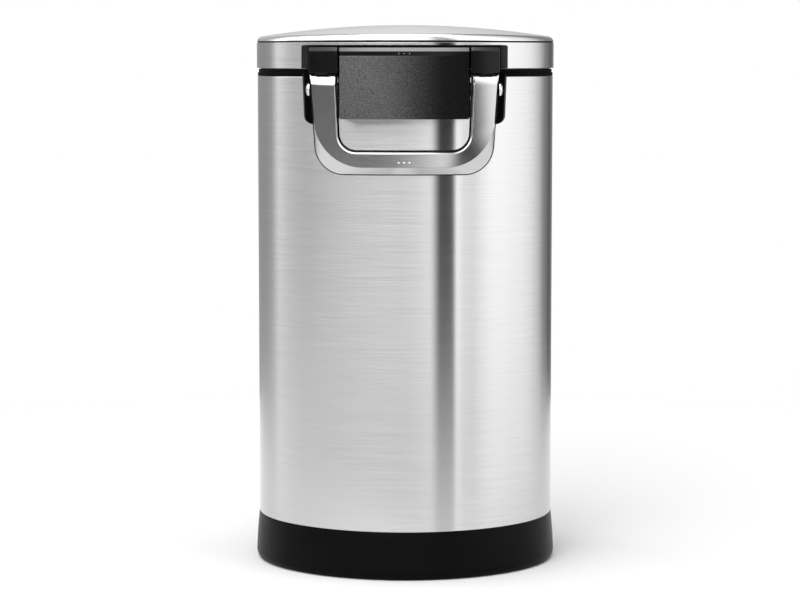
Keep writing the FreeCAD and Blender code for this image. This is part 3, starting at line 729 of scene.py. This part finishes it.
def make_lid_skirt():
    """Steel band round the lid, its lower edge turned in."""
    out = LID_OUT
    hem_top = LID_BOTTOM + HEM_THICK
    section = rounded([(out, LID_BOTTOM), (out, SEAM_LOW), (out - LID_WALL, SEAM_LOW),
                       (out - LID_WALL, hem_top), (out - HEM, hem_top), (out - HEM, LID_BOTTOM)],
                      [0.5, 0.3, 0.1, 0.1, 0.2, 0.2], 3)
    lower, upper = LID_BOTTOM + 8, LID_BOTTOM + 17
    place = next(index for index, (_, z) in enumerate(section) if z > upper)
    section[place:place] = [(out, lower), (out, upper)]
    piece("lid_skirt_band", oval_sweep(section), "lid", body_steel, ["lid_shell"])


def make_lid_crease_shade():
    """Black strip sunk in the crease between the lid's band and its crown: painted shade for the
    crease.
    """
    out = LID_OUT - SEAM_SUNK
    bottom, top = SEAM_LOW - 0.5, SEAM_HIGH + 0.5
    section = [(out, bottom), (out, top), (out - 1, top), (out - 1, bottom)]
    # its black is painted shade for the crease
    piece("lid_crease_painted_shade", oval_sweep(section), "lid", black_rubber)


def make_lid_crown():
    """Steel crown of the lid: rounded shoulder and dome."""
    bm = bmesh.new()
    columns = []
    turn_steps = 14
    for station in oval_stations():
        rim_x, rim_y = oval_point(station, LID_OUT)
        end = math.pi / 2 - math.asin(math.hypot(rim_x, rim_y) / DOME_RADIUS)
        centre_z = dome_z(*oval_point(station, LID_OUT - SHOULDER * (1 - math.cos(end))))
        centre_z -= SHOULDER * math.sin(end)
        start = math.asin(max(0.0, (SEAM_HIGH + 0.4 - centre_z) / SHOULDER))
        profile = [(LID_WALL, SEAM_HIGH), (0.35, SEAM_HIGH), (0.12, SEAM_HIGH + 0.12)]
        for step in range(turn_steps + 1):
            angle = start + (end - start) * step / turn_steps
            profile.append((SHOULDER * (1 - math.cos(angle)), centre_z + SHOULDER * math.sin(angle)))
        column = []
        for inset, z in profile:
            x, y = oval_point(station, LID_OUT - inset)
            column.append((x, y, z))
        edge_x, edge_y = column[-1][:2]
        for share in DOME_SHARES:
            x, y = edge_x * share, edge_y * share
            column.append((x, y, dome_z(x, y)))
        columns.append(ring_of(bm, column))
    for index, column in enumerate(columns):
        bridge(bm, columns[index - 1], column, closed=False)
    crown = bm.verts.new((0, 0, dome_z(0, 0)))
    for index, column in enumerate(columns):
        bm.faces.new((columns[index - 1][-1], column[-1], crown))
    piece("lid_crown", bm, "lid", lid_steel, ["lid_shell"])


# ---- bail ------------------------------------------------------------------------------
def arch(top_half, taper, corner, bottom, top):
    """U outline from the right arm's top round to the left arm's top, as (x, z) points."""
    slope = math.atan(taper)
    centre_z = bottom + corner
    side_x = top_half - taper * (ARM_TOP - centre_z)
    centre_x = side_x - corner / math.cos(slope)
    touch_x = centre_x + corner * math.cos(slope)
    touch_z = centre_z - corner * math.sin(slope)
    half = []
    for step in range(ARM_STEPS):
        share = (step / ARM_STEPS) ** 1.6
        z = top + (touch_z - top) * share
        half.append((top_half - taper * (ARM_TOP - z), z))
    for step in range(TURN_STEPS):
        angle = -slope - (math.pi / 2 - slope) * step / TURN_STEPS
        half.append((centre_x + corner * math.cos(angle), centre_z + corner * math.sin(angle)))
    for step in range(GRIP_STEPS):
        half.append((centre_x * (1 - step / GRIP_STEPS), bottom))
    mirrored = [(-x, z) for x, z in reversed(half)]
    return half + [(0.0, bottom)] + mirrored


def end_depth(z):
    """How far the arms' rounded ends have curved back at height z."""
    rise = max(0.0, z - ARM_END_START)
    return ARM_END_ROUND - math.sqrt(ARM_END_ROUND ** 2 - rise ** 2)


def sweep_sections(sections):
    """Solid through open-ended sections, all with the same number of points, ends closed."""
    bm = bmesh.new()
    rings = [ring_of(bm, points) for points in sections]
    for first, second in zip(rings, rings[1:]):
        bridge(bm, first, second)
    bm.faces.new(rings[0])
    bm.faces.new(rings[-1])
    return bm


def blend_points(a, b, share):
    """Point between two plan points."""
    return a[0] + (b[0] - a[0]) * share, a[1] + (b[1] - a[1]) * share


def bar_section(out, front, inside):
    """(plan point, depth) pairs across the steel: inner edge, flat face, wide bevel and back."""
    width = math.hypot(front[0] - inside[0], front[1] - inside[1])
    edge = blend_points(inside, front, INNER_EDGE / width)
    gap = math.hypot(out[0] - front[0], out[1] - front[1])
    fall = min(BAR_THICK - 1.0, 0.9 * gap)
    section = [(inside, INNER_EDGE), (blend_points(inside, edge, 0.3), 0.3 * INNER_EDGE), (edge, 0.0)]
    section += [(blend_points(edge, front, share), 0.0) for share in (0.03, 0.5, 0.97)]
    section += [(front, 0.0), (blend_points(front, out, 0.06), 0.12 * fall),
                (blend_points(front, out, 0.94), 0.94 * fall), (out, fall + 0.3),
                (out, BAR_THICK), (inside, BAR_THICK)]
    return section


def on_bail(section, deepest):
    """Section's points on the curved front, the arms' ends rounded back."""
    return [bend(x, min(max(depth, end_depth(z)), deepest), z) for (x, z), depth in section]


def make_bail_bar():
    """Steel front of the bail: flat face, wide lower bevel and a narrow bright inner edge."""
    top = ARM_TOP - 0.5
    outer = arch(ARM_OUT - BAR_STEP, ARM_OUT_TAPER, BAIL_CORNER - BAR_STEP, BAIL_BOTTOM + BAR_STEP, top)
    face = arch(ARM_OUT - BAR_STEP - FACE_STEP, ARM_OUT_TAPER, FACE_CORNER, FACE_BOTTOM, top)
    inner = arch(ARM_IN, ARM_IN_TAPER, GRIP_CORNER, GRIP_TOP, top)
    sections = [on_bail(bar_section(*points), BAR_THICK) for points in zip(outer, face, inner)]
    made = piece("bail_bar_shaped", sweep_sections(sections), "bail", bail_steel,
                 ["bail_bar"])
    made.visible_glossy = False


def make_bail_backing():
    """Black back of the bail, showing as a fine line round the steel."""
    top = ARM_TOP - 0.4
    outer = arch(ARM_OUT, ARM_OUT_TAPER, BAIL_CORNER, BAIL_BOTTOM, top)
    inner = arch(ARM_IN - BACKING_STEP, ARM_IN_TAPER, GRIP_CORNER - BACKING_STEP,
                 GRIP_TOP + BACKING_STEP, top)
    sections = []
    for out, inside in zip(outer, inner):
        section = [(inside, BAR_THICK), (out, BAR_THICK), (out, BAIL_THICK), (inside, BAIL_THICK)]
        sections.append(on_bail(section, BAIL_THICK))
    made = piece("bail_backing_shaped", sweep_sections(sections), "bail", black_block,
                 ["bail_backing"])
    made.visible_glossy = False


def make_pivot_screws():
    """Domed screw heads with a driving recess."""
    bm = bmesh.new()
    head_tall = HEAD_RIM + HEAD_DOME
    profile = [(0, HEAD_RADIUS), (HEAD_RIM, HEAD_RADIUS)]
    for step in range(1, 9):
        angle = math.radians(10 * step)
        profile.append((HEAD_RIM + HEAD_DOME * math.sin(angle), HEAD_RADIUS * math.cos(angle) ** 0.9))
    profile = [(along, radius) for along, radius in profile if radius > RECESS_RADIUS - 0.05]
    profile = [(0, 0), (0, 3.0)] + profile + [(head_tall, RECESS_RADIUS + 0.2),
                                              (head_tall - 0.2, RECESS_RADIUS),
                                              (RECESS_FLOOR, RECESS_RADIUS), (RECESS_FLOOR, 0)]
    for side in SIDES:
        seat = side * (high("pivot_screws", X) - head_tall)
        mirrored = [(side * along, radius) for along, radius in profile]
        add_revolved(bm, mirrored, (seat, PIVOT_Y, PIVOT_Z), "x")
    piece("pivot_screw_heads", bm, "can", screw_steel, ["pivot_screws"])


def make_dots(name, z, depth, radius, body, material):
    """Row of three small raised dots on the curved front."""
    bm = bmesh.new()
    rise = 0.5 * radius
    for x in DOT_PLACES:
        y = bend(x, depth, z)[1]
        profile = [(0.3, radius)]
        for step in range(6):
            angle = math.radians(18 * step)
            profile.append((-rise * math.sin(angle), radius * math.cos(angle)))
        profile[-1] = (-rise, 0)
        add_revolved(bm, profile, (x, y, z), "y", 16)
    piece(name, bm, body, material)


# ---- nodes that keep their CAD shape ---------------------------------------------------
def dress(node, material):
    """Gives a CAD node its material."""
    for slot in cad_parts[node].material_slots:
        slot.material = material


make_base()
make_body()
make_collar()
make_bucket()
make_wings()
make_core()
make_panel()
make_blocks()
make_catch_pads()
make_housing()
make_lid_skirt()
make_lid_crease_shade()
make_lid_crown()
make_bail_bar()
make_bail_backing()
make_pivot_screws()
make_dots("panel_dots", PANEL_DOT_Z, PANEL_LEAN + 0.3, 0.65, "can", grey_bucket)
make_dots("grip_dots", GRIP_DOT_Z, 0.0, 0.95, "bail", screw_steel)

for node, material in {
    "base_pad": black_rubber,
    "pivot_spacers": black_nylon,
    "hinge_bracket": black_hinge,
    "hinge_pin": zinc_metal,
    "hinge_caps": black_hinge,
    "hinge_arm": black_hinge,
    "lid_liner": black_liner,
    "lid_gasket": grey_rubber,
    "bracket_screws": zinc_metal,
    "housing_screws": zinc_metal,
    "hinge_bracket_screws": zinc_metal,
    "hinge_arm_screws": zinc_metal,
    "bail_screws": zinc_metal,
}.items():
    dress(node, material)


# ---- studio ----------------------------------------------------------------------------
FLOOR_RADIUS = 1.2


def studio_floor():
    """Pale floor, in metres, with painted shade: its colour is a little darker well in front of the
    bin.
    """
    mesh = bpy.data.meshes.new("floor")
    bm = bmesh.new()
    turns = [math.radians(5 * step) for step in range(72)]
    rim = [(FLOOR_RADIUS * math.cos(a), FLOOR_RADIUS * math.sin(a), 0.0) for a in turns]
    bm.faces.new(ring_of(bm, rim))
    bm.to_mesh(mesh)
    bm.free()
    floor = bpy.data.objects.new("floor", mesh)
    bpy.context.collection.objects.link(floor)
    material, tree, shader = start_material("floor_paper")
    # painted shade: the floor's colour falls from 0.48 near the bin to 0.35 well in front of it
    tree.links.new(fade_along(tree, "Y", -0.75, -0.28, 0.35, 0.48), shader.inputs["Base Color"])
    shader.inputs["Roughness"].default_value = 0.9
    mesh.materials.append(material)


# Brightness of the studio all round the bin, by azimuth in degrees: 0 is the camera's side,
# positive to the right. UPPER is the soft boxes, LEVEL the room at the bin's own height, and
# LOWER what lies steeply below it. FLOOR_LEVEL is the far floor, between LOWER and LEVEL.
# The narrow dark place to the right is the gap between two soft boxes.
UPPER = (
    (-180, 0.90), (-155, 0.60), (-140, 0.40), (-122, 0.90), (-112, 3.20), (-104, 2.60), (-92, 1.30),
    (-77, 1.90), (-60, 3.10), (-39, 3.80), (-12, 3.90), (-3, 3.30), (8, 2.30), (19, 1.90),
    (25, 0.02), (35.5, 0.02), (38, 2.00), (60, 2.20), (75, 1.60), (90, 1.20), (110, 1.10),
    (134, 0.30), (152, 0.20), (165, 0.40), (180, 0.90),
)
LEVEL = (
    (-180, 0.50), (-158, 0.35), (-134, 0.40), (-122, 0.45), (-110, 1.00), (-92, 0.60), (-77, 0.30),
    (-60, 0.12), (-39, 0.08), (-12, 0.12), (-3, 0.24), (8, 0.70), (19, 1.20), (25, 0.02), (35.5, 0.02),
    (38, 1.90), (43, 1.10), (51, 0.95), (59, 1.50), (67, 1.90), (78, 1.90), (95, 1.70), (107, 1.50),
    (122, 0.90), (134, 0.36), (152, 0.12), (180, 0.50),
)
LOWER = (
    (-180, 0.40), (-134, 0.50), (-110, 0.90), (-60, 1.20), (0, 1.30), (19, 1.30), (25, 0.02),
    (35.5, 0.02), (38, 1.30), (95, 1.20), (122, 0.80), (134, 0.36), (152, 0.12), (180, 0.40),
)
FLOOR_LEVEL = 0.9
ZENITH_LEVEL = 8.0
BRIGHTEST = 8.0

# elevations in degrees between which one level gives way to the next above it
LOWER_TO_FLOOR = (-34, -24)
FLOOR_TO_LEVEL = (-7, -4)
LEVEL_TO_UPPER = (8, 12)
UPPER_TO_ZENITH = (70, 79)


class WorldNodes:
    """Short calls for the nodes of the studio's world."""

    def __init__(self, tree):
        self.tree = tree

    def new(self, kind, **settings):
        made = self.tree.nodes.new(kind)
        for key, value in settings.items():
            setattr(made, key, value)
        return made

    def calculate(self, operation, *inputs):
        made = self.new("ShaderNodeMath", operation=operation)
        for socket, value in zip(made.inputs, inputs):
            if isinstance(value, (int, float)):
                socket.default_value = value
            else:
                self.tree.links.new(value, socket)
        return made.outputs["Value"]

    def ring(self, azimuth, stops):
        """Brightness by azimuth, as a share of the brightest."""
        ramp = self.new("ShaderNodeValToRGB")
        elements = ramp.color_ramp.elements
        for index, (degrees, level) in enumerate(stops):
            place = (degrees + 180) / 360
            element = elements[index] if index < 2 else elements.new(place)
            element.position = place
            share = level / BRIGHTEST
            element.color = (share, share, share, 1.0)
        self.tree.links.new(azimuth, ramp.inputs["Fac"])
        return ramp.outputs["Color"]

    def above(self, elevation, start, end):
        """Factor that rises from 0 to 1 between two elevations in degrees."""
        spread = self.new("ShaderNodeMapRange", interpolation_type="SMOOTHSTEP")
        spread.inputs["From Min"].default_value = math.radians(start)
        spread.inputs["From Max"].default_value = math.radians(end)
        self.tree.links.new(elevation, spread.inputs["Value"])
        return spread.outputs["Result"]

    def mix(self, factor, below, above):
        made = self.new("ShaderNodeMix", data_type="RGBA")
        self.tree.links.new(factor, made.inputs["Factor"])
        for socket, value in ((made.inputs["A"], below), (made.inputs["B"], above)):
            if isinstance(value, float):
                share = value / BRIGHTEST
                socket.default_value = (share, share, share, 1.0)
            else:
                self.tree.links.new(value, socket)
        return made.outputs["Result"]


def studio_world():
    """Soft surround that the steel mirrors; plain white where the camera looks past the bin."""
    world = bpy.data.worlds.new("studio")
    bpy.context.scene.world = world
    world.use_nodes = True
    world.node_tree.nodes.clear()
    nodes = WorldNodes(world.node_tree)
    link = world.node_tree.links.new
    split = nodes.new("ShaderNodeSeparateXYZ")
    link(nodes.new("ShaderNodeTexCoord").outputs["Generated"], split.inputs["Vector"])
    toward = nodes.calculate("MULTIPLY", split.outputs["Y"], -1.0)
    turn = nodes.calculate("ARCTAN2", split.outputs["X"], toward)
    azimuth = nodes.calculate("MULTIPLY_ADD", turn, 1 / (2 * math.pi), 0.5)
    elevation = nodes.calculate("ARCSINE", split.outputs["Z"])
    light = nodes.ring(azimuth, LOWER)
    light = nodes.mix(nodes.above(elevation, *LOWER_TO_FLOOR), FLOOR_LEVEL, light)
    light = nodes.mix(nodes.above(elevation, *FLOOR_TO_LEVEL), light, nodes.ring(azimuth, LEVEL))
    light = nodes.mix(nodes.above(elevation, *LEVEL_TO_UPPER), light, nodes.ring(azimuth, UPPER))
    light = nodes.mix(nodes.above(elevation, *UPPER_TO_ZENITH), light, ZENITH_LEVEL)
    surround = nodes.new("ShaderNodeBackground")
    surround.inputs["Strength"].default_value = BRIGHTEST
    link(light, surround.inputs["Color"])
    plain = nodes.new("ShaderNodeBackground")
    plain.inputs["Color"].default_value = (1, 1, 1, 1)
    choose = nodes.new("ShaderNodeMixShader")
    link(nodes.new("ShaderNodeLightPath").outputs["Is Camera Ray"], choose.inputs["Fac"])
    link(surround.outputs["Background"], choose.inputs[1])
    link(plain.outputs["Background"], choose.inputs[2])
    link(choose.outputs["Shader"], nodes.new("ShaderNodeOutputWorld").inputs["Surface"])


# lamp and camera, in metres and radians
KEY_PLACE = (-0.6, -1.9, 1.7)
KEY_AIM = (0, 0, 0.4)
KEY_SIZE = 0.9
KEY_POWER = 22
CAMERA_PLACE = (0.0166, -2.5635, 0.52416)
CAMERA_TILT = 0.0998
CAMERA_TURN = 0.00857
CAMERA_LENS = 111.42
SENSOR_WIDTH = 36.0


def key_light():
    """Square soft light, not mirrored by the steel."""
    data = bpy.data.lights.new("key", "AREA")
    data.shape = "SQUARE"
    data.size = KEY_SIZE
    data.energy = KEY_POWER
    lamp = bpy.data.objects.new("key", data)
    bpy.context.collection.objects.link(lamp)
    lamp.location = KEY_PLACE
    lamp.visible_glossy = False
    direction = [aim - place for aim, place in zip(KEY_AIM, KEY_PLACE)]
    length = math.sqrt(sum(d * d for d in direction))
    lamp.rotation_euler = (math.acos(-direction[2] / length), 0.0,
                           math.atan2(direction[1], direction[0]) - math.pi / 2)


def studio_camera():
    """Camera a little above the bin's middle, in front of it, tilted slightly down."""
    data = bpy.data.cameras.new("camera")
    data.sensor_width = SENSOR_WIDTH
    data.lens = CAMERA_LENS
    camera = bpy.data.objects.new("camera", data)
    bpy.context.collection.objects.link(camera)
    camera.location = CAMERA_PLACE
    camera.rotation_euler = (math.pi / 2 - CAMERA_TILT, 0.0, CAMERA_TURN)
    bpy.context.scene.camera = camera


studio_floor()
studio_world()
studio_camera()
key_light()
bpy.context.scene.view_settings.view_transform = "Standard"
